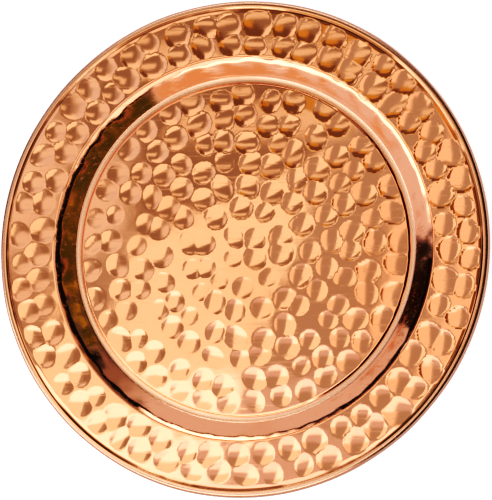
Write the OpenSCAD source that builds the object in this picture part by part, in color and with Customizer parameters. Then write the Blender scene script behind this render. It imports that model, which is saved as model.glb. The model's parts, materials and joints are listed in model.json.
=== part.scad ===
// Hammered copper serving tray: one round sheet of copper with a flat base, a foot
// crease, a plain wall and a wide flange, and its edge rolled over a steel wire ring.
// Millimetres, +Z up. The origin is on the axis, on the surface the tray stands on.

/* [Tray] */
// Overall diameter, across the rolled edge
tray_d = 330; // [300:5:360]
// Overall height, from the foot crease to the top of the rolled edge
tray_h = 15; // [14:0.5:18]
// Thickness of the copper sheet
sheet_t = 0.9; // [0.7:0.1:1]

/* [Base and foot] */
// Diameter of the middle of the foot crease, the ring that the tray stands on
foot_d = 225; // [210:1:230]
// Width of the flat under the foot crease
foot_w = 1; // [1:0.2:4]
// How far the base is held above the foot crease
base_rise = 0.6; // [0.4:0.1:1]
// Bend radius where the base steps down to the foot crease
step_bend_r = 2; // [2:0.5:6]

/* [Wall and flange] */
// Slope of the wall, from level
wall_slope = 38.5; // [36:0.5:50]
// Bend radius at the foot of the wall
foot_bend_r = 5; // [3:0.5:6]
// Bend radius at the shoulder, where the wall turns into the flange
shoulder_bend_r = 10.5; // [6:0.5:12]
// Slope of the flange, rising outwards
flange_slope = 5; // [2:0.5:6]

/* [Rolled edge] */
// Diameter of the stiffening wire
wire_d = 4; // [2.4:0.2:4.4]
// Radial room between the wire and the sheet rolled round it
wire_room = 0.05; // [0.02:0.01:0.1]
// Slope at which the sheet climbs off the flange and onto the wire
edge_slope = 40; // [30:5:50]
// Bend radius of the valley between the flange and the rolled edge
valley_bend_r = 2; // [1.5:0.5:3]
// How far round the wire the sheet is rolled
edge_wrap = 305; // [280:5:315]
// Gap between the two butted ends of the wire
wire_gap = 0.8; // [0.4:0.2:2]

/* [Hidden] */
$fn = 96;
arc_step = 8; // degrees turned by each short facet of a bend

half_t = sheet_t / 2;
wire_r = wire_d / 2;
edge_mid_r = wire_r + wire_room + half_t; // from the wire's centre to mid-sheet
edge_out_r = edge_mid_r + half_t;
wire_ring_r = tray_d / 2 - edge_out_r;
wire_z = tray_h - edge_out_r;

foot_in_r = (foot_d - foot_w) / 2;
foot_out_r = (foot_d + foot_w) / 2;
step_slope = acos(1 - base_rise / (2 * step_bend_r));
base_r = foot_in_r - 2 * step_bend_r * sin(step_slope);

// Bends are arcs of the mid-sheet line. A bend that turns upwards has its centre above
// the sheet and side = 1; one that turns downwards has it below and side = -1.
// a is the slope where the bend starts, and b the slope where it ends.
function bend_end(p, r, a, b, side) =
    p + side * r * [sin(b) - sin(a), cos(a) - cos(b)];

// Points along one face of a bend; off is that face's distance above mid-sheet.
function bend_points(p, r, a, b, side, off) =
    let (centre = p + side * r * [-sin(a), cos(a)],
         steps = ceil(abs(b - a) / arc_step),
         face_r = r - side * off)
    [for (i = [0 : steps])
        let (s = a + (b - a) * i / steps)
        centre + side * face_r * [sin(s), -cos(s)]];

// Mid-sheet line, as [radius, height], from the base outwards
base_end = [base_r, base_rise + half_t];
step_mid = bend_end(base_end, step_bend_r, 0, -step_slope, -1);
foot_out = [foot_out_r, half_t];
wall_low = bend_end(foot_out, foot_bend_r, 0, wall_slope, 1);
edge_start = [wire_ring_r, wire_z] + edge_mid_r * [-sin(edge_slope), cos(edge_slope)];
valley_turn = bend_end([0, 0], valley_bend_r, flange_slope, edge_slope, 1);
flange_out = edge_start - valley_turn;

// The wall and the flange are as long as they must be to join the bends between them.
shoulder_turn = bend_end([0, 0], shoulder_bend_r, wall_slope, flange_slope, -1);
span = flange_out - wall_low - shoulder_turn;
wall_length = (span[1] * cos(flange_slope) - span[0] * sin(flange_slope))
    / sin(wall_slope - flange_slope);
wall_high = wall_low + wall_length * [cos(wall_slope), sin(wall_slope)];

// One face of the whole sheet, from the axis to the lip under the rolled edge
function sheet_face(off) = concat(
    [[0, base_end[1] + off]],
    bend_points(base_end, step_bend_r, 0, -step_slope, -1, off),
    bend_points(step_mid, step_bend_r, -step_slope, 0, 1, off),
    bend_points(foot_out, foot_bend_r, 0, wall_slope, 1, off),
    bend_points(wall_high, shoulder_bend_r, wall_slope, flange_slope, -1, off),
    bend_points(flange_out, valley_bend_r, flange_slope, edge_slope, 1, off),
    bend_points(edge_start, edge_mid_r, edge_slope, edge_slope - edge_wrap, -1, off));

function reversed(list) = [for (i = [len(list) - 1 : -1 : 0]) list[i]];

// The copper sheet, with the wall, flange and rolled edge all of one piece
module tray_sheet() {
    color([0.85, 0.52, 0.33])
    rotate_extrude()
    polygon(concat(sheet_face(-half_t), reversed(sheet_face(half_t))));
}

// The wire ring inside the rolled edge, its cut ends butted together at the back
module rim_wire() {
    gap_angle = wire_gap / wire_ring_r * 180 / PI;
    color([0.55, 0.56, 0.58])
    rotate([0, 0, 90 + gap_angle / 2])
    rotate_extrude(angle = 360 - gap_angle)
    translate([wire_ring_r, wire_z])
    circle(r = wire_r);
}

tray_sheet();
rim_wire();
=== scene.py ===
"""A hammered copper tray on a pale floor in soft studio light.

The sheet is one mesh, made again here at full detail: the CAD part's section with a tighter,
eased shoulder, and with hammer marks in its base and flange. The steel wire in its rolled edge
is the CAD part's own.
"""
import json
import math

import bpy
import numpy as np
from mathutils import Matrix, Vector


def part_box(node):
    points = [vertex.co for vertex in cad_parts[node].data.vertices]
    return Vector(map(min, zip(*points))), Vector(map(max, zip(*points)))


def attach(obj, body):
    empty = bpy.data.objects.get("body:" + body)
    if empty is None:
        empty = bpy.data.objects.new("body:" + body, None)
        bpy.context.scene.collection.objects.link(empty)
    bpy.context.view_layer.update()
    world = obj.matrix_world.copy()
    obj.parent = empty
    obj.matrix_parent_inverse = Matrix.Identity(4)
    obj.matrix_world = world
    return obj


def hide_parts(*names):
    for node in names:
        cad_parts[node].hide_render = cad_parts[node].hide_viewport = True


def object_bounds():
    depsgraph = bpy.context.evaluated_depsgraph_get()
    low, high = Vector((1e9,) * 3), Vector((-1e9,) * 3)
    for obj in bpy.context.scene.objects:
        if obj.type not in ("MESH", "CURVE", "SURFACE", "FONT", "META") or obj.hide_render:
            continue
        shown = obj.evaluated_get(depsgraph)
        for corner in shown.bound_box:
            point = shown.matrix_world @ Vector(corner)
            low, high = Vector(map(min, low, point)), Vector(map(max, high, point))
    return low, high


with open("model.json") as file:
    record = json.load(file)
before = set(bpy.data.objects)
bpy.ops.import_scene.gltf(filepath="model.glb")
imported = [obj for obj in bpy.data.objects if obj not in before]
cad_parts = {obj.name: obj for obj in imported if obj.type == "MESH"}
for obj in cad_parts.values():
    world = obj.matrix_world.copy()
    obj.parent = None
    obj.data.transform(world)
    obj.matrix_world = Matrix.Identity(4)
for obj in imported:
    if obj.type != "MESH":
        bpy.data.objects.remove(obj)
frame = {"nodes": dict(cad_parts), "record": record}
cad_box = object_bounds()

MM = 0.001
SEED = 11

# ---------------------------------------------------------------- sizes of the sheet, in mm
MOUNTS = {mount["name"]: mount for mount in frame["record"]["mounts"]}
WIRE_LOW, WIRE_HIGH = (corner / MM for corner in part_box("rim_wire"))

TRAY_R = cad_box[1].x / MM
TRAY_H = cad_box[1].z / MM
SHEET_T = 0.9
FOOT_R = MOUNTS["foot_rest"]["pos_m"][0] / MM
FOOT_W = 1.0
BASE_TOP = MOUNTS["base_top"]["pos_m"][2] / MM
STEP_BEND_R = 2.0
WALL_SLOPE = math.radians(38.5)
WALL_CROWN = 0.05  # how far the wall swells above a straight line
FOOT_BEND_R = 5.0
SHOULDER_EASE = math.radians(6)  # the wall eases over by this much before the shoulder proper
SHOULDER_EASE_R = 38.0
SHOULDER_BEND_R = 4.5
FLANGE_SLOPE = math.radians(5)
EDGE_SLOPE = math.radians(36)
EDGE_CLIMB = 0.4  # the straight between the valley's bend and the wire's
VALLEY_BEND_R = 2.0
EDGE_WRAP = math.radians(301)  # how far round the wire the sheet is rolled

WIRE_Z = (WIRE_HIGH.z + WIRE_LOW.z) / 2
EDGE_R = TRAY_H - WIRE_Z - SHEET_T / 2  # from the wire's centre to mid-sheet
WIRE_RING_R = TRAY_R - EDGE_R - SHEET_T / 2

# Spacing of the vertices in the hammered and the plain zones, and steps round the rolled edge
TOP_MESH = 1.25, 2.2, 22
UNDERSIDE_MESH = 2.4, 2.5, 20
LIP_TURNS = np.radians((30, 60, 90, 120, 150))  # where rings go round the lip of the sheet

# ---------------------------------------------------------------- hammer marks, in mm
# Rows of marks as (radius, count), from the outside in on the base and outwards on the flange
BASE_ROWS = (104.0, 37), (88.6, 33), (73.2, 28), (57.8, 22), (42.4, 16), (27.2, 10), (12.0, 4)
FLANGE_ROWS = (137.5, 49), (150.2, 52)
# Each zone's rows, how far its marks stray from their row, their reach, and the share of their
# depth that is in a steeper rim
ZONES = (BASE_ROWS, 1.9, 7.6, 0.1), (FLANGE_ROWS, 1.4, 8.2, 0.2)
STRAY = 0.09  # how far marks stray along their row, as a share of their spacing
REACH_SPREAD, DEPTH_SPREAD, STRETCH_SPREAD = 0.6, 0.1, 0.06
REACH_LEAN, RIM_LEAN = 0.95, 0.12  # how much marks grow and sharpen with lean()
BOWL = 0.0142  # a mark's depth is this times the square of its reach
DEEPEST = 0.9  # keeps the underside of the base off the table
SECOND_BLOWS = 0.3  # the share of marks that were struck twice
RIDGE_RISE = 0.42  # how far the ridges stand above the CAD part's plain surface
RIDGE_SOFT, RIDGE_LEAN = 0.065, 0.05  # how far down the ridges are rounded, and less with lean()
FAR_OUT = 2.5  # a mark's surface is level past this, in squares of its reach
CHUNK = 4000  # vertices worked on at a time
OUTER_FADE = 0.4  # how much shallower the marks are beside the foot crease

# ---------------------------------------------------------------- unevenness, in mm
WAVE_SIZE = 0.12  # of the wall and the edge
BASE_WAVE_SIZE = 0.035
SHOULDER_WAVE_SIZE = 0.09  # finer waves on the wall, where hammering the flange has moved it
# Each set of waves as its number, the fewest and most turns round the tray, and its drift
LONG_WAVES = 14, 2, 26, 0.12
FINE_WAVES = 12, 25, 75, 0.35
LEAST_RING = 20.0  # waves get no steeper nearer the axis than this


def bend_span(radius, start, end):
    """How far outwards and up a bend goes, as its slope turns from start to end."""
    side = math.copysign(radius, end - start)
    return side * (math.sin(end) - math.sin(start)), side * (math.cos(start) - math.cos(end))


class Walk:
    """The mid-sheet line, walked outwards from the axis as straights and bends."""

    def __init__(self, height):
        self.r, self.z, self.slope, self.path = 0.0, height, 0.0, 0.0
        self.stations = []

    def add(self, pitch, zone):
        """Notes the place reached; pitch is the spacing of the vertices round that ring."""
        self.stations.append((self.r, self.z, self.slope, self.path, pitch, zone))

    def straight(self, length, steps, pitch, zone):
        for _ in range(steps):
            self.r += length / steps * math.cos(self.slope)
            self.z += length / steps * math.sin(self.slope)
            self.path += length / steps
            self.add(pitch, zone)

    def bend(self, radius, turn, steps, pitch, zone):
        """Turns upwards by turn, or downwards where it is negative."""
        for _ in range(steps):
            start, self.slope = self.slope, self.slope + turn / steps
            out, up = bend_span(radius, start, self.slope)
            self.r += out
            self.z += up
            self.path += radius * abs(turn) / steps
            self.add(pitch, zone)


def wall_and_flange_lengths():
    """The lengths that join the foot's bend to the rolled edge."""
    eased = WALL_SLOPE - SHOULDER_EASE
    foot_out = np.array([FOOT_R + FOOT_W / 2, SHEET_T / 2])
    wall_low = foot_out + bend_span(FOOT_BEND_R, 0, WALL_SLOPE)
    shoulder = (np.array(bend_span(SHOULDER_EASE_R, WALL_SLOPE, eased))
                + bend_span(SHOULDER_BEND_R, eased, FLANGE_SLOPE))
    valley = np.array(bend_span(VALLEY_BEND_R, FLANGE_SLOPE, EDGE_SLOPE))
    edge_start = np.array([
        WIRE_RING_R - EDGE_R * math.sin(EDGE_SLOPE) - EDGE_CLIMB * math.cos(EDGE_SLOPE),
        WIRE_Z + EDGE_R * math.cos(EDGE_SLOPE) - EDGE_CLIMB * math.sin(EDGE_SLOPE)])
    across = edge_start - valley - shoulder - wall_low
    ways = np.array([[math.cos(WALL_SLOPE), math.cos(FLANGE_SLOPE)],
                     [math.sin(WALL_SLOPE), math.sin(FLANGE_SLOPE)]])
    return np.linalg.solve(ways, across)


def walk_section(fine, coarse, edge_steps):
    """The section's stations. fine spaces the hammered zones, coarse the plain ones."""
    rise = BASE_TOP - SHEET_T
    step_slope = math.acos(1 - rise / (2 * STEP_BEND_R))
    base_r = FOOT_R - FOOT_W / 2 - 2 * STEP_BEND_R * math.sin(step_slope)
    wall, flange = wall_and_flange_lengths()
    walk = Walk(BASE_TOP - SHEET_T / 2)
    walk.add(fine, "base")
    walk.straight(base_r, round(base_r / fine), fine, "base")
    walk.bend(STEP_BEND_R, -step_slope, 3, fine, "base")
    walk.bend(STEP_BEND_R, step_slope, 3, fine, "base")
    walk.straight(FOOT_W, 1, coarse, "foot")
    walk.bend(FOOT_BEND_R, WALL_SLOPE, 6, coarse, "foot")
    walk.straight(wall, 6, coarse, "wall")
    walk.bend(SHOULDER_EASE_R, -SHOULDER_EASE, 4, coarse, "wall")
    walk.bend(SHOULDER_BEND_R, FLANGE_SLOPE - WALL_SLOPE + SHOULDER_EASE, 6, fine, "shoulder")
    walk.straight(flange, round(flange / fine), fine, "flange")
    walk.bend(VALLEY_BEND_R, EDGE_SLOPE - FLANGE_SLOPE, 4, coarse, "edge")
    walk.straight(EDGE_CLIMB, 1, coarse, "edge")
    walk.bend(EDGE_R, -EDGE_WRAP, edge_steps, coarse * 1.1, "edge")
    return walk.stations


# ---------------------------------------------------------------- hammer marks
def lean(x, y):
    """From -1 at the front left of the tray, where the marks are small and worn, to 1 across."""
    return (x + y) / (math.sqrt(2) * TRAY_R)


def place_marks(rng):
    """Each mark as (x, y, reach, depth, stretch, direction, rim): round bowls, none quite alike."""
    marks = []
    for rows, wander, size, crisp in ZONES:
        turn = rng.uniform(0, 2 * math.pi)
        for radius, count in rows:
            turn += rng.uniform(0.2, 0.8) * 2 * math.pi / count
            for i in range(count):
                angle = turn + (i + rng.normal(0, STRAY)) * 2 * math.pi / count
                r = radius + rng.normal(0, wander)
                x, y = r * math.cos(angle), r * math.sin(angle)
                reach = size + REACH_LEAN * lean(x, y) + rng.normal(0, REACH_SPREAD)
                depth = min(BOWL * reach ** 2 * rng.normal(1, DEPTH_SPREAD), DEEPEST)
                rim = crisp + RIM_LEAN * lean(x, y)
                marks.append((x, y, reach, depth, rng.normal(0, STRETCH_SPREAD),
                              rng.uniform(0, math.pi), rim))
                if rng.random() < SECOND_BLOWS * (1 + lean(x, y)):
                    way, apart = rng.uniform(0, 2 * math.pi), reach * rng.uniform(0.25, 0.5)
                    again = reach * rng.uniform(0.6, 0.8)
                    marks.append((x + apart * math.cos(way), y + apart * math.sin(way), again,
                                  depth * rng.uniform(0.75, 0.95), 0.0, 0.0, rim))
    return np.array(marks)


def smoothstep(low, high, value):
    t = np.clip((value - low) / (high - low), 0, 1)
    return t * t * (3 - 2 * t)


def hammered(x, y, marks):
    """Height and slopes of the hammered surface above the ridges, by a soft minimum."""
    softness = RIDGE_SOFT - RIDGE_LEAN * lean(x, y)
    height = np.empty_like(x)
    slope_x, slope_y = np.empty_like(x), np.empty_like(x)
    for part in np.array_split(np.arange(len(x)), max(1, len(x) // CHUNK)):
        dx = x[part, None] - marks[None, :, 0]
        dy = y[part, None] - marks[None, :, 1]
        reach, depth, stretch, way, rim = marks.T[2:]
        along = dx * np.cos(way) + dy * np.sin(way)
        aside = dy * np.cos(way) - dx * np.sin(way)
        wide, narrow = reach * (1 + stretch), reach * (1 - stretch)
        out = np.minimum((along / wide) ** 2 + (aside / narrow) ** 2, FAR_OUT)
        bowl = -depth * (1 - (1 - rim) * out - rim * out ** 4)
        steep = 2 * depth * (1 - rim + 4 * rim * out ** 3)
        down_along, down_aside = steep * along / wide ** 2, steep * aside / narrow ** 2
        soft = softness[part]
        weight = np.exp(-np.clip(bowl, -2, 2) / soft[:, None])
        total = weight.sum(1) + 1
        height[part] = -soft * np.log(total)
        down_x = down_along * np.cos(way) - down_aside * np.sin(way)
        down_y = down_along * np.sin(way) + down_aside * np.cos(way)
        slope_x[part] = (down_x * weight).sum(1) / total
        slope_y[part] = (down_y * weight).sum(1) / total
    return height, slope_x, slope_y


def ripples(rng, count, low, high, drift):
    """Shallow waves round the tray, as (size, turns, phase, drift)."""
    turns = rng.integers(low, high, count)
    return [(rng.normal(0, 1), k, rng.uniform(0, 2 * math.pi), rng.uniform(-drift, drift))
            for k in turns]


def rippled(waves, angle, path, radius):
    """Height and slopes, outwards and round, of waves about 1 high."""
    height, out, around = np.zeros_like(angle), np.zeros_like(angle), np.zeros_like(angle)
    scale = 1 / math.sqrt(len(waves))
    for amount, turns, phase, drift in waves:
        wave = turns * angle + phase + drift * path
        height += scale * amount * np.cos(wave)
        out -= scale * amount * drift * np.sin(wave)
        around -= scale * amount * turns / np.maximum(radius, LEAST_RING) * np.sin(wave)
    return height, out, around


def ring_vertices(stations):
    """Every ring's vertices, as arrays of the station they are at and their angle."""
    at, angle, counts = [], [], []
    for i, (r, _, _, _, pitch, _) in enumerate(stations):
        count = 1 if r < 1e-6 else max(6, round(2 * math.pi * r / pitch))
        counts.append(count)
        at += [i] * count
        angle += [2 * math.pi * k / count for k in range(count)]
    return np.array(at), np.array(angle), counts


def bridge(first, n_first, second, n_second):
    """Faces between two rings, which may have different numbers of vertices."""
    if n_first == n_second:
        for i in range(n_first):
            j = (i + 1) % n_first
            yield first + i, second + i, second + j, first + j
        return
    i = j = 0
    while i < n_first or j < n_second:
        a, b = first + i % n_first, second + j % n_second
        behind = n_first == 1 or (j + 1) * n_first <= (i + 1) * n_second
        if j < n_second and (i >= n_first or behind):
            j += 1
            yield a, b, second + j % n_second
            if n_first == 1 and j == n_second:
                return
        else:
            i += 1
            yield a, b, first + i % n_first


class Sheet:
    """The mesh of the sheet, gathered one face at a time and joined round the lip."""

    def __init__(self):
        self.points, self.normals, self.faces, self.size = [], [], [], 0

    def add(self, points, normals):
        start = self.size
        self.points.append(points)
        self.normals.append(normals)
        self.size += len(points)
        return start

    def join(self, start, counts, flip):
        """Joins the rings, which lie one after another from the vertex start."""
        for n, m in zip(counts, counts[1:]):
            for face in bridge(start, n, start + n, m):
                self.faces.append(face[::-1] if flip else face)
            start += n


def zone_masks(r, path, stations):
    """How much of the base's and the flange's hammering each vertex takes."""
    base_end = FOOT_R - FOOT_W / 2
    outer_row = smoothstep(base_end - 12, base_end - 2, r)
    on_base = (1 - OUTER_FADE * outer_row) * (1 - smoothstep(base_end - 1.4, base_end, r))
    shoulder = [s for s in stations if s[5] == "shoulder"]
    edge = [s for s in stations if s[5] == "edge"][0]
    on_flange = (smoothstep(shoulder[0][3], shoulder[3][3], path)
                 * (1 - smoothstep(edge[3] - 2.5, edge[3] + 0.5, path)))
    return on_base, on_flange


def swell(path, stations):
    """Height and slope of the wall's slight upward curve."""
    wall = [s[3] for s in stations if s[5] == "wall"]
    start, length = wall[0], wall[-1] - wall[0]
    along = (path - start) / length
    within = (along > 0) & (along < 1)
    return (within * WALL_CROWN * 4 * along * (1 - along),
            within * WALL_CROWN * 4 * (1 - 2 * along) / length)


def wave_sizes(r, on_base):
    """The height of the long and of the fine waves at each vertex."""
    long = (WAVE_SIZE * smoothstep(FOOT_R + 1, FOOT_R + 8, r)
            + BASE_WAVE_SIZE * smoothstep(8, 40, r) * on_base)
    fine = (SHOULDER_WAVE_SIZE * smoothstep(FOOT_R + 3, FOOT_R + 14, r)
            * (1 - smoothstep(FOOT_R + 17, FOOT_R + 22, r)))
    return long, fine


def relief(stations, at, angle, marks, waves):
    """How far each vertex is raised off the plain section, and the slopes outwards and round."""
    r, _, _, path = np.array([s[:4] for s in stations])[at].T
    cos_a, sin_a = np.cos(angle), np.sin(angle)
    height, slope_x, slope_y = hammered(r * cos_a, r * sin_a, marks)
    on_base, on_flange = zone_masks(r, path, stations)
    mask = on_base + on_flange
    step = 0.05
    more_base, more_flange = zone_masks(r + step, path + step, stations)
    mask_out = (more_base + more_flange - mask) / step
    level = height + RIDGE_RISE
    rise, out = swell(path, stations)
    rise += mask * level
    out += mask * (slope_x * cos_a + slope_y * sin_a) + mask_out * level
    around = mask * (slope_y * cos_a - slope_x * sin_a)
    for some, size in zip(waves, wave_sizes(r, on_base)):
        wave, wave_out, wave_around = rippled(some, angle, path, r)
        rise, out, around = rise + size * wave, out + size * wave_out, around + size * wave_around
    return rise, out, around


def surface(stations, rings, marks, waves, off, ahead=0.0):
    """Points and normals of rings a distance off the mid-sheet, and ahead of it at the lip."""
    at, angle = rings
    r, z, slope, _ = np.array([s[:4] for s in stations])[at].T
    cos_a, sin_a = np.cos(angle), np.sin(angle)
    rise, out, around = relief(stations, at, angle, marks, waves)
    up_r, up_z = -np.sin(slope), np.cos(slope)
    on_r, on_z = np.cos(slope), np.sin(slope)
    far_r = r + (off + rise) * up_r + ahead * on_r
    far_z = z + (off + rise) * up_z + ahead * on_z
    points = np.stack([far_r * cos_a, far_r * sin_a, far_z], 1)
    normal_r = off * (up_r - out * on_r) + ahead * on_r
    normal_z = off * (up_z - out * on_z) + ahead * on_z
    aside = off * around
    normals = np.stack([normal_r * cos_a + aside * sin_a,
                        normal_r * sin_a - aside * cos_a, normal_z], 1)
    return points, normals / np.linalg.norm(normals, axis=1)[:, None]


def make_sheet():
    """The whole copper sheet as one closed mesh: the top, the underside and the round lip."""
    rng = np.random.default_rng(SEED)
    marks = place_marks(rng)
    waves = ripples(rng, *LONG_WAVES), ripples(rng, *FINE_WAVES)
    sheet = Sheet()
    ends = []
    for side, spacing in ((1, TOP_MESH), (-1, UNDERSIDE_MESH)):
        stations = walk_section(*spacing)
        at, angle, counts = ring_vertices(stations)
        start = sheet.add(*surface(stations, (at, angle), marks, waves, side * SHEET_T / 2))
        sheet.join(start, counts, flip=side < 0)
        ends.append((start + sum(counts[:-1]), counts[-1]))
        if side > 0:
            last = at == len(stations) - 1
            for turn in LIP_TURNS:
                ring = surface(stations, (at[last], angle[last]), marks, waves,
                               SHEET_T / 2 * math.cos(turn), SHEET_T / 2 * math.sin(turn))
                ends.append((sheet.add(*ring), counts[-1]))
    for (first, n), (second, m) in zip(ends, ends[1:]):
        sheet.faces += bridge(first, n, second, m)
    mesh = bpy.data.meshes.new("hammered_sheet")
    mesh.from_pydata(np.concatenate(sheet.points) * MM, [], sheet.faces)
    mesh.polygons.foreach_set("use_smooth", [True] * len(mesh.polygons))
    mesh.normals_split_custom_set_from_vertices(np.concatenate(sheet.normals))
    mesh.update()
    piece = bpy.data.objects.new("hammered_sheet", mesh)
    bpy.context.scene.collection.objects.link(piece)
    return piece


# ---------------------------------------------------------------- materials
COPPER, TARNISHED_COPPER = (0.945, 0.49, 0.31), (0.77, 0.33, 0.18)
# painted sheen: a paler, lighter copper along the foot's crease, standing in for a bright line of
# reflection
PAINTED_CREASE_SHEEN = (0.86, 0.54, 0.4)
DULL_EDGE = (0.68, 0.42, 0.3)
# painted shade: a dark brown laid in splotches in the valley by the rolled edge
VALLEY_PAINTED_SHADE = (0.2, 0.09, 0.04)
STEEL, RUST = (0.5, 0.51, 0.53), (0.28, 0.17, 0.1)


def new_material(name):
    material = bpy.data.materials.new(name)
    material.use_nodes = True
    nodes, links = material.node_tree.nodes, material.node_tree.links
    return material, nodes, links, nodes["Principled BSDF"]


class ShaderMaths:
    """The small shader nodes that both the materials and the studio are made of."""

    def __init__(self, nodes, links, coordinate):
        self.nodes, self.links = nodes, links
        self.place = nodes.new("ShaderNodeTexCoord").outputs[coordinate]

    def math(self, operation, *values):
        node = self.nodes.new("ShaderNodeMath")
        node.operation = operation
        for socket, value in zip(node.inputs, values):
            if isinstance(value, (int, float)):
                socket.default_value = value
            else:
                self.links.new(value, socket)
        return node.outputs[0]

    def ramp(self, value, low, high, start=0.0, end=1.0):
        """From start, where the value is low, smoothly to end, where it is high."""
        node = self.nodes.new("ShaderNodeMapRange")
        node.interpolation_type = "SMOOTHSTEP"
        self.links.new(value, node.inputs["Value"])
        for name, number in (("From Min", low), ("From Max", high),
                             ("To Min", start), ("To Max", end)):
            node.inputs[name].default_value = number
        return node.outputs["Result"]

    def blend(self, first, second, factor):
        """A mix of two colours, each of them numbers or a socket."""
        node = self.nodes.new("ShaderNodeMix")
        node.data_type = "RGBA"
        self.links.new(factor, node.inputs["Factor"])
        for name, colour in (("A", first), ("B", second)):
            if isinstance(colour, tuple):
                node.inputs[name].default_value = (*colour, 1)
            else:
                self.links.new(colour, node.inputs[name])
        return node.outputs["Result"]

    def split(self):
        """The place's x, y and z."""
        parts = self.nodes.new("ShaderNodeSeparateXYZ")
        self.links.new(self.place, parts.inputs[0])
        return parts.outputs


class Pattern(ShaderMaths):
    """Patterns in the object's own coordinates, for a material's colour, gloss and bump."""

    def __init__(self, nodes, links):
        super().__init__(nodes, links, "Object")

    def noise(self, scale, detail=3.0, turn=0.0, stretch=1.0):
        """Noise with scale features a metre, drawn out along a line turned from +X."""
        mapping = self.nodes.new("ShaderNodeMapping")
        mapping.inputs["Rotation"].default_value = (0, 0, math.radians(turn))
        mapping.inputs["Scale"].default_value = (1 / stretch, 1, 1)
        self.links.new(self.place, mapping.inputs["Vector"])
        noise = self.nodes.new("ShaderNodeTexNoise")
        noise.inputs["Scale"].default_value = scale
        noise.inputs["Detail"].default_value = detail
        self.links.new(mapping.outputs[0], noise.inputs["Vector"])
        return noise.outputs["Fac"]

    def scratches(self, scale, turns, stretch, cover):
        """Thin lines in several directions, each where a stretched noise is high."""
        total = None
        for turn in turns:
            lines = self.ramp(self.noise(scale, 2.0, turn, stretch), 1 - cover, 1.06 - cover)
            total = lines if total is None else self.math("MAXIMUM", total, lines)
        return total

    def radius(self):
        """Distance from the tray's axis, in mm."""
        x, y, _ = self.split()
        across = self.math("ADD", self.math("MULTIPLY", x, x), self.math("MULTIPLY", y, y))
        return self.math("DIVIDE", self.math("SQRT", across), MM)

    def band(self, value, low, high, soft):
        """1 between low and high, and softly 0 outside them."""
        return self.math("MULTIPLY", self.ramp(value, low - soft, low),
                         self.ramp(value, high, high + soft, 1.0, 0.0))

    def bump(self, height, distance, before=None):
        node = self.nodes.new("ShaderNodeBump")
        node.inputs["Distance"].default_value = distance
        self.links.new(height, node.inputs["Height"])
        if before is not None:
            self.links.new(before, node.inputs["Normal"])
        return node.outputs["Normal"]


def copper():
    """Copper polished by hand: bright, finely scratched, clouded in places, duller on its edge."""
    material, nodes, links, shader = new_material("hammered_copper")
    pattern = Pattern(nodes, links)
    # where the metal is worn, dull or dirty, and where a sheen and a shade are painted into its
    # colour, by radius in mm
    radius = pattern.radius()
    edge = pattern.ramp(radius, WIRE_RING_R - 1.2, WIRE_RING_R - 0.2)
    crease = pattern.band(radius, FOOT_R + 0.3, FOOT_R + 2.8, 0.8)
    grime = pattern.band(radius, FOOT_R - 1.0, FOOT_R - 0.2, 0.5)
    # the valley by the rolled edge, in splotches, where shade is painted into the colour
    in_valley = pattern.band(radius, WIRE_RING_R - 3.0, WIRE_RING_R - 1.4, 0.4)
    valley = pattern.math("MULTIPLY", in_valley, pattern.ramp(pattern.noise(22, 3.0), 0.44, 0.56))
    # what is all over it
    clouds = pattern.ramp(pattern.noise(16, 4.0), 0.45, 0.75)
    specks = pattern.ramp(pattern.noise(1100, 2.0), 0.62, 0.78)
    grain = pattern.noise(900, 2.0)
    scratches = pattern.scratches(420, (18, 63, 101, 148), 34, 0.35)

    tarnish = pattern.math("MULTIPLY_ADD", clouds, 0.22, pattern.math("MULTIPLY", specks, 0.12))
    tarnish = pattern.math("MULTIPLY_ADD", grime, 0.5, tarnish)
    colour = pattern.blend(COPPER, TARNISHED_COPPER, tarnish)
    # painted sheen in the crease's colour; its extra roughness below is the crease's own
    colour = pattern.blend(colour, PAINTED_CREASE_SHEEN, pattern.math("MULTIPLY", crease, 0.8))
    colour = pattern.blend(colour, DULL_EDGE, pattern.math("MULTIPLY", edge, 0.9))
    # painted shade: dark splotches in the valley beside the rolled edge
    colour = pattern.blend(colour, VALLEY_PAINTED_SHADE, pattern.math("MULTIPLY", valley, 0.8))
    links.new(colour, shader.inputs["Base Color"])

    gloss = pattern.math("MULTIPLY_ADD", clouds, 0.05, 0.05)
    gloss = pattern.math("MULTIPLY_ADD", scratches, 0.1, gloss)
    gloss = pattern.math("MULTIPLY_ADD", crease, 0.2, gloss)
    gloss = pattern.math("MULTIPLY_ADD", edge, 0.1, gloss)
    links.new(pattern.math("MULTIPLY_ADD", grain, 0.06, gloss), shader.inputs["Roughness"])

    planished = pattern.bump(pattern.noise(85, 2.0), 0.00006)
    scratched = pattern.bump(scratches, -0.000004, planished)
    rough = pattern.math("MULTIPLY_ADD", pattern.math("MAXIMUM", edge, crease), 0.8, 0.2)
    links.new(pattern.bump(pattern.math("MULTIPLY", grain, rough), 0.00004, scratched),
              shader.inputs["Normal"])
    shader.inputs["Metallic"].default_value = 1.0
    return material


def steel():
    """Drawn steel wire: dull grey, with faint rust specks and the die's fine lines."""
    material, nodes, links, shader = new_material("steel_wire")
    pattern = Pattern(nodes, links)
    rust = pattern.ramp(pattern.noise(260, 5.0), 0.6, 0.8)
    colour = pattern.blend(STEEL, RUST, pattern.math("MULTIPLY", rust, 0.5))
    links.new(colour, shader.inputs["Base Color"])
    links.new(pattern.math("MULTIPLY_ADD", rust, 0.35, 0.34), shader.inputs["Roughness"])
    links.new(pattern.bump(pattern.noise(1500, 3.0), 0.00003), shader.inputs["Normal"])
    shader.inputs["Metallic"].default_value = 1.0
    return material


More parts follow.
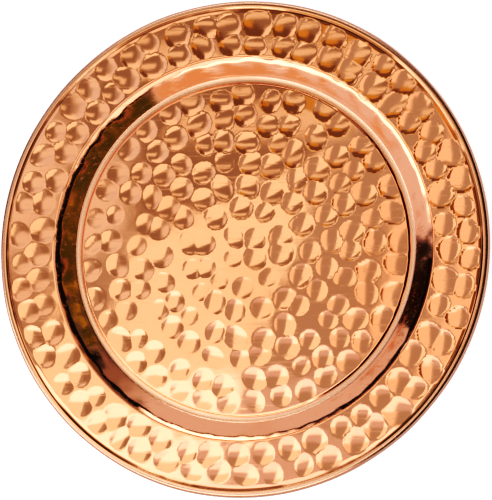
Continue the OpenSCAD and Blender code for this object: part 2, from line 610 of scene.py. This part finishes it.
# ---------------------------------------------------------------- studio
CAMERA_TILT = math.radians(13.44)
CAMERA_TURN = math.radians(61.62)
CAMERA_AXIS = Vector((math.cos(CAMERA_TURN), math.sin(CAMERA_TURN), 0))  # it tilts about this
CAMERA_DISTANCE = 1.45
CAMERA_AIM = Vector((0.0042, -0.0024, 0.0125))
CAMERA_LENS = 158.3
PALE = (0.8, 0.82, 0.95)  # what the tray reflects where nothing else is painted
BLACK = (0.03, 0.03, 0.03)
WINDOW = (2.6, 2.6, 2.6)


def make_camera():
    """A long lens a little to the right of straight above the tray, and a little in front."""
    turn = Matrix.Rotation(CAMERA_TILT, 3, CAMERA_AXIS)
    camera_data = bpy.data.cameras.new("camera")
    camera_data.lens = CAMERA_LENS
    camera = bpy.data.objects.new("camera", camera_data)
    place = CAMERA_AIM + turn @ Vector((0, 0, CAMERA_DISTANCE))
    camera.matrix_world = Matrix.Translation(place) @ turn.to_4x4()
    bpy.context.scene.collection.objects.link(camera)
    bpy.context.scene.camera = camera


class Painter(ShaderMaths):
    """Paints patches of light and dark one over another."""

    def __init__(self, tree, coordinate):
        super().__init__(tree.nodes, tree.links, coordinate)
        self.colour = None

    def step(self, value, edge, soft):
        """0 below the edge and 1 above it, softly."""
        return self.ramp(value, edge - soft / 2, edge + soft / 2)

    def fill(self, colour):
        node = self.nodes.new("ShaderNodeRGB")
        node.outputs[0].default_value = (*colour, 1)
        self.colour = node.outputs[0]

    def paint(self, mask, colour):
        self.colour = self.blend(self.colour, colour, mask)


class Sky(Painter):
    """The studio round the tray, painted on the world by direction.

    A bearing is in degrees from +X towards +Y, and an elevation in degrees above level. Both lean
    with the camera's mirror image, so that one slope of the tray meets one elevation all round.
    """

    def __init__(self):
        world = bpy.data.worlds.new("studio")
        bpy.context.scene.world = world
        world.use_nodes = True
        super().__init__(world.node_tree, "Generated")
        leaning = Matrix.Rotation(-CAMERA_TILT, 3, CAMERA_AXIS)
        self.x, self.y, z = (self.along(leaning @ Vector(axis))
                             for axis in ((1, 0, 0), (0, 1, 0), (0, 0, 1)))
        self.across = self.math("SQRT", self.math("SUBTRACT", 1.0, self.math("MULTIPLY", z, z)))
        self.elevation = self.math("MULTIPLY", self.math("ARCSINE", z), 180 / math.pi)

    def along(self, axis):
        node = self.nodes.new("ShaderNodeVectorMath")
        node.operation = "DOT_PRODUCT"
        self.links.new(self.place, node.inputs[0])
        node.inputs[1].default_value = axis
        return node.outputs["Value"]

    def aside(self, bearing):
        """How far round a direction is from a bearing, in degrees."""
        turn = math.radians(bearing)
        along = self.math("ADD", self.math("MULTIPLY", self.x, math.cos(turn)),
                          self.math("MULTIPLY", self.y, math.sin(turn)))
        way = self.math("ARCCOSINE", self.math("DIVIDE", along, self.across))
        return self.math("MULTIPLY", way, 180 / math.pi)

    def panel(self, bearings, elevations, colour, soft=2.0, soft_sides=8.0, wisps=None):
        """A patch between two bearings and two elevations, or wisps of noise there."""
        (first, last), (low, high) = bearings, elevations
        beyond = self.step(self.aside((first + last) / 2), (last - first) / 2, soft_sides)
        near = self.math("SUBTRACT", 1.0, beyond)
        under = self.math("SUBTRACT", 1.0, self.step(self.elevation, high, soft))
        band = self.math("MULTIPLY", self.step(self.elevation, low, soft), under)
        mask = self.math("MULTIPLY", near, band)
        if wisps:
            noise = self.nodes.new("ShaderNodeTexNoise")
            noise.inputs["Scale"].default_value = wisps
            noise.inputs["Detail"].default_value = 3.0
            noise.inputs["Distortion"].default_value = 1.5
            self.links.new(self.place, noise.inputs["Vector"])
            mask = self.math("MULTIPLY", mask, self.step(noise.outputs["Fac"], 0.6, 0.14))
        self.paint(mask, colour)

    def finish(self, seen):
        """The camera sees a plain pale backdrop, and everything else the studio."""
        self.paint(self.nodes.new("ShaderNodeLightPath").outputs["Is Camera Ray"], seen)
        self.links.new(self.colour, self.nodes["Background"].inputs["Color"])


class Canopy(Painter):
    """Studio cards side by side over the tray, painted on one level sheet, clear elsewhere."""

    def __init__(self, name, height, half):
        mesh = bpy.data.meshes.new(name)
        corners = (-half, -half), (half, -half), (half, half), (-half, half)
        mesh.from_pydata([(x, y, height) for x, y in corners], [], [(0, 1, 2, 3)])
        material = bpy.data.materials.new(name)
        material.use_nodes = True
        material.node_tree.nodes.clear()
        mesh.materials.append(material)
        sheet = bpy.data.objects.new(name, mesh)
        sheet.visible_camera = False
        sheet.visible_shadow = False
        bpy.context.scene.collection.objects.link(sheet)
        super().__init__(material.node_tree, "Object")
        self.x, self.y, _ = self.split()
        self.cover = None
        self.fill((0, 0, 0))

    def card(self, corners, colour, soft):
        """A card of any convex outline, with soft edges."""
        mask = None
        sides = [(*first, *last) for first, last in zip(corners, corners[1:] + corners[:1])]
        turns = sum(x0 * y1 - x1 * y0 for x0, y0, x1, y1 in sides)
        for x0, y0, x1, y1 in sides:
            length = math.copysign(math.hypot(x1 - x0, y1 - y0), turns)
            in_x, in_y = (y0 - y1) / length, (x1 - x0) / length
            inside = self.math("ADD", self.math("MULTIPLY", self.x, in_x),
                               self.math("MULTIPLY", self.y, in_y))
            side = self.step(inside, x0 * in_x + y0 * in_y, soft)
            mask = side if mask is None else self.math("MULTIPLY", mask, side)
        self.paint(mask, colour)
        self.cover = mask if self.cover is None else self.math("MAXIMUM", self.cover, mask)

    def finish(self):
        """The cards glow, and everything between them is clear."""
        glow, clear, mix, output = (self.nodes.new("ShaderNode" + kind) for kind in (
            "Emission", "BsdfTransparent", "MixShader", "OutputMaterial"))
        self.links.new(self.colour, glow.inputs["Color"])
        self.links.new(self.cover, mix.inputs[0])
        self.links.new(clear.outputs[0], mix.inputs[1])
        self.links.new(glow.outputs[0], mix.inputs[2])
        self.links.new(mix.outputs[0], output.inputs["Surface"])


CANOPY_HEIGHT = 0.27
CANOPY_HALF = 0.4  # half the width of the sheet
# Studio cards over the tray: corners in metres, brightness, and softness of the edges in metres
CARDS = (
    # all that lies between the cards
    ([(-0.36, -0.22), (0.1, -0.26), (0.135, -0.17), (0.155, 0.12), (0.15, 0.28), (-0.1, 0.34),
      (-0.34, 0.26)], (0.54, 0.56, 0.57), 0.02),
    ([(-0.22, 0.165), (-0.07, 0.165), (-0.07, 0.28), (-0.22, 0.28)], (1.1, 1.08, 1.05), 0.03),
    # shade behind and to the left, and a card far back
    ([(-0.15, 0.045), (-0.09, 0.065), (0.01, 0.11), (0.0, 0.19), (-0.14, 0.18)],
     (0.4, 0.4, 0.37), 0.02),
    ([(-0.12, 0.12), (0.03, 0.116), (0.04, 0.148), (-0.11, 0.148)], (0.95, 0.93, 0.88), 0.015),
    ([(-0.34, -0.05), (-0.19, -0.06), (-0.20, 0.02), (-0.34, 0.0)], (0.45, 0.45, 0.42), 0.02),
    ([(-0.3, 0.02), (-0.19, 0.02), (-0.15, 0.05), (-0.16, 0.11), (-0.3, 0.12)],
     (0.95, 0.97, 1.0), 0.03),
    ([(-0.3, 0.11), (-0.18, 0.11), (-0.16, 0.2), (-0.3, 0.24)], (0.88, 0.92, 1.0), 0.04),
    ([(-0.07, 0.19), (-0.02, 0.16), (0.05, 0.15), (0.12, 0.165), (0.17, 0.19), (0.16, 0.28),
      (-0.07, 0.3)], (0.27, 0.24, 0.16), 0.02),
    ([(-0.02, 0.155), (0.05, 0.145), (0.06, 0.175), (-0.02, 0.18)], (0.7, 0.55, 0.2), 0.02),
    ([(0.1, 0.1), (0.15, 0.09), (0.155, 0.15), (0.15, 0.19), (0.11, 0.17)],
     (0.8, 0.58, 0.28), 0.03),
    # the key light, straight above
    ([(-0.18, -0.08), (-0.053, -0.08), (0.015, 0.108), (-0.145, 0.04)], (1.2, 1.2, 1.13), 0.008),
    # the warm card to the right, and the bright ones in front
    ([(0.045, -0.07), (0.145, -0.07), (0.152, 0.11), (0.075, 0.12)], (1.12, 1.02, 0.95), 0.018),
    ([(-0.08, -0.07), (0.05, -0.07), (0.05, -0.12), (-0.02, -0.12), (-0.1, -0.12)],
     (0.78, 0.78, 0.86), 0.02),
    ([(-0.11, -0.12), (0.05, -0.11), (0.05, -0.16), (-0.02, -0.25), (-0.1, -0.25)],
     (1.5, 1.5, 1.6), 0.02),
    ([(0.035, -0.13), (0.055, -0.065), (0.145, -0.065), (0.15, -0.1), (0.11, -0.21), (0.0, -0.24)],
     (1.6, 1.6, 1.6), 0.015),
    ([(0.12, -0.08), (0.155, -0.08), (0.15, -0.2), (0.12, -0.2)], (0.5, 0.5, 0.48), 0.02),
    ([(-0.34, -0.2), (-0.10, -0.2), (-0.055, -0.07), (-0.2, -0.075), (-0.33, -0.09)],
     (1.8, 1.8, 1.8), 0.02),
)


# The contrast curve's points: the darks a little deeper than they are
CONTRAST = (0.07, 0.01), (0.143, 0.036), (0.218, 0.1), (0.3, 0.205), (0.4, 0.34), (0.55, 0.55)


def tone_curve():
    """Film-like contrast, on the curve of all three colours."""
    view = bpy.context.scene.view_settings
    view.view_transform = "Standard"
    view.use_curve_mapping = True
    curve = view.curve_mapping.curves[3]
    for place in CONTRAST:
        curve.points.new(*place)
    view.curve_mapping.update()


def make_studio():
    sky = Sky()
    sky.fill(PALE)
    # behind the tray: a pale wall, its dark top edge, and two softboxes
    sky.panel((35, 155), (-90, 90), (0.8, 0.8, 0.88))
    sky.panel((42, 62), (14, 23), (0.4, 0.36, 0.34), soft_sides=14.0)
    sky.panel((40, 72), (23, 36), BLACK)
    sky.panel((66, 125), (25, 29), BLACK)
    sky.panel((122, 180), (24.5, 36), BLACK)
    sky.panel((67, 108), (28, 40), (2.8, 2.8, 2.8))
    sky.panel((105, 128), (34, 44), (2.4, 2.4, 2.4))
    # to the left: a dark gap with a pale streak
    sky.panel((153, 178), (14, 25), (0.05, 0.04, 0.03), soft_sides=2.0)
    sky.panel((153, 178), (19, 23), (0.6, 0.6, 0.65), wisps=14.0)
    # to the front left and the front: a warm table edge, a cool wall, and a bright window
    sky.panel((178, 295), (-90, 90), (0.88, 0.9, 1.02))
    sky.panel((203, 297), (-90, 19.4), (0.82, 0.64, 0.55), 0.7)
    sky.panel((178, 205), (-90, 18.5), (0.7, 0.5, 0.45), wisps=24.0)
    sky.panel((186, 297), (27, 48), WINDOW)
    sky.panel((235, 297), (23.5, 30), WINDOW)
    # to the right: pale low down and dark above, with one thin warm line
    sky.panel((-65, 40), (-90, 90), (0.85, 0.86, 0.98), soft_sides=5.0)
    sky.panel((-63, 44), (14, 19.6), (0.15, 0.17, 0.05), soft_sides=5.0)
    sky.panel((-65, 44), (14, 19.3), (0.7, 0.64, 0.15), wisps=16.0)
    sky.panel((-65, 48), (50, 90), (0.32, 0.26, 0.15))
    sky.panel((-65, 48), (19.8, 52), BLACK)
    sky.panel((-60, 20), (19.3, 20.1), (0.7, 0.45, 0.2), 0.6)
    sky.finish((1.0, 1.0, 1.0))
    canopy = Canopy("cards", CANOPY_HEIGHT, CANOPY_HALF)
    for corners, colour, soft in CARDS:
        canopy.card(corners, colour, soft)
    canopy.finish()
    tone_curve()


FLOOR_R, FLOOR_SIDES = 3.0, 96
FLOOR_GLOW = 0.7  # keeps the backdrop as pale as the photo's


def make_floor():
    """A pale disc, lit and shadowed for the camera and plain for the tray's reflections."""
    mesh = bpy.data.meshes.new("floor")
    turns = [k * 2 * math.pi / FLOOR_SIDES for k in range(FLOOR_SIDES)]
    mesh.from_pydata([(FLOOR_R * math.cos(turn), FLOOR_R * math.sin(turn), 0) for turn in turns],
                     [], [tuple(range(FLOOR_SIDES))])
    floor = bpy.data.objects.new("floor", mesh)
    bpy.context.scene.collection.objects.link(floor)
    material, nodes, links, shader = new_material("floor")
    shader.inputs["Base Color"].default_value = (0.8, 0.8, 0.8, 1)
    shader.inputs["Roughness"].default_value = 0.9
    shader.inputs["Emission Color"].default_value = (1, 1, 1, 1)
    shader.inputs["Emission Strength"].default_value = FLOOR_GLOW
    mirrored = nodes.new("ShaderNodeEmission")
    mirrored.inputs["Color"].default_value = (*PALE, 1)
    mix = nodes.new("ShaderNodeMixShader")
    links.new(nodes.new("ShaderNodeLightPath").outputs["Is Camera Ray"], mix.inputs[0])
    links.new(mirrored.outputs[0], mix.inputs[1])
    links.new(shader.outputs[0], mix.inputs[2])
    links.new(mix.outputs[0], nodes["Material Output"].inputs["Surface"])
    mesh.materials.append(material)


make_camera()
make_studio()
make_floor()
sheet = make_sheet()
sheet.data.materials.append(copper())
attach(sheet, "root")
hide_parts("tray_sheet")
wire = frame["nodes"]["rim_wire"]
for wire_slot in wire.material_slots:
    wire_slot.material = steel()
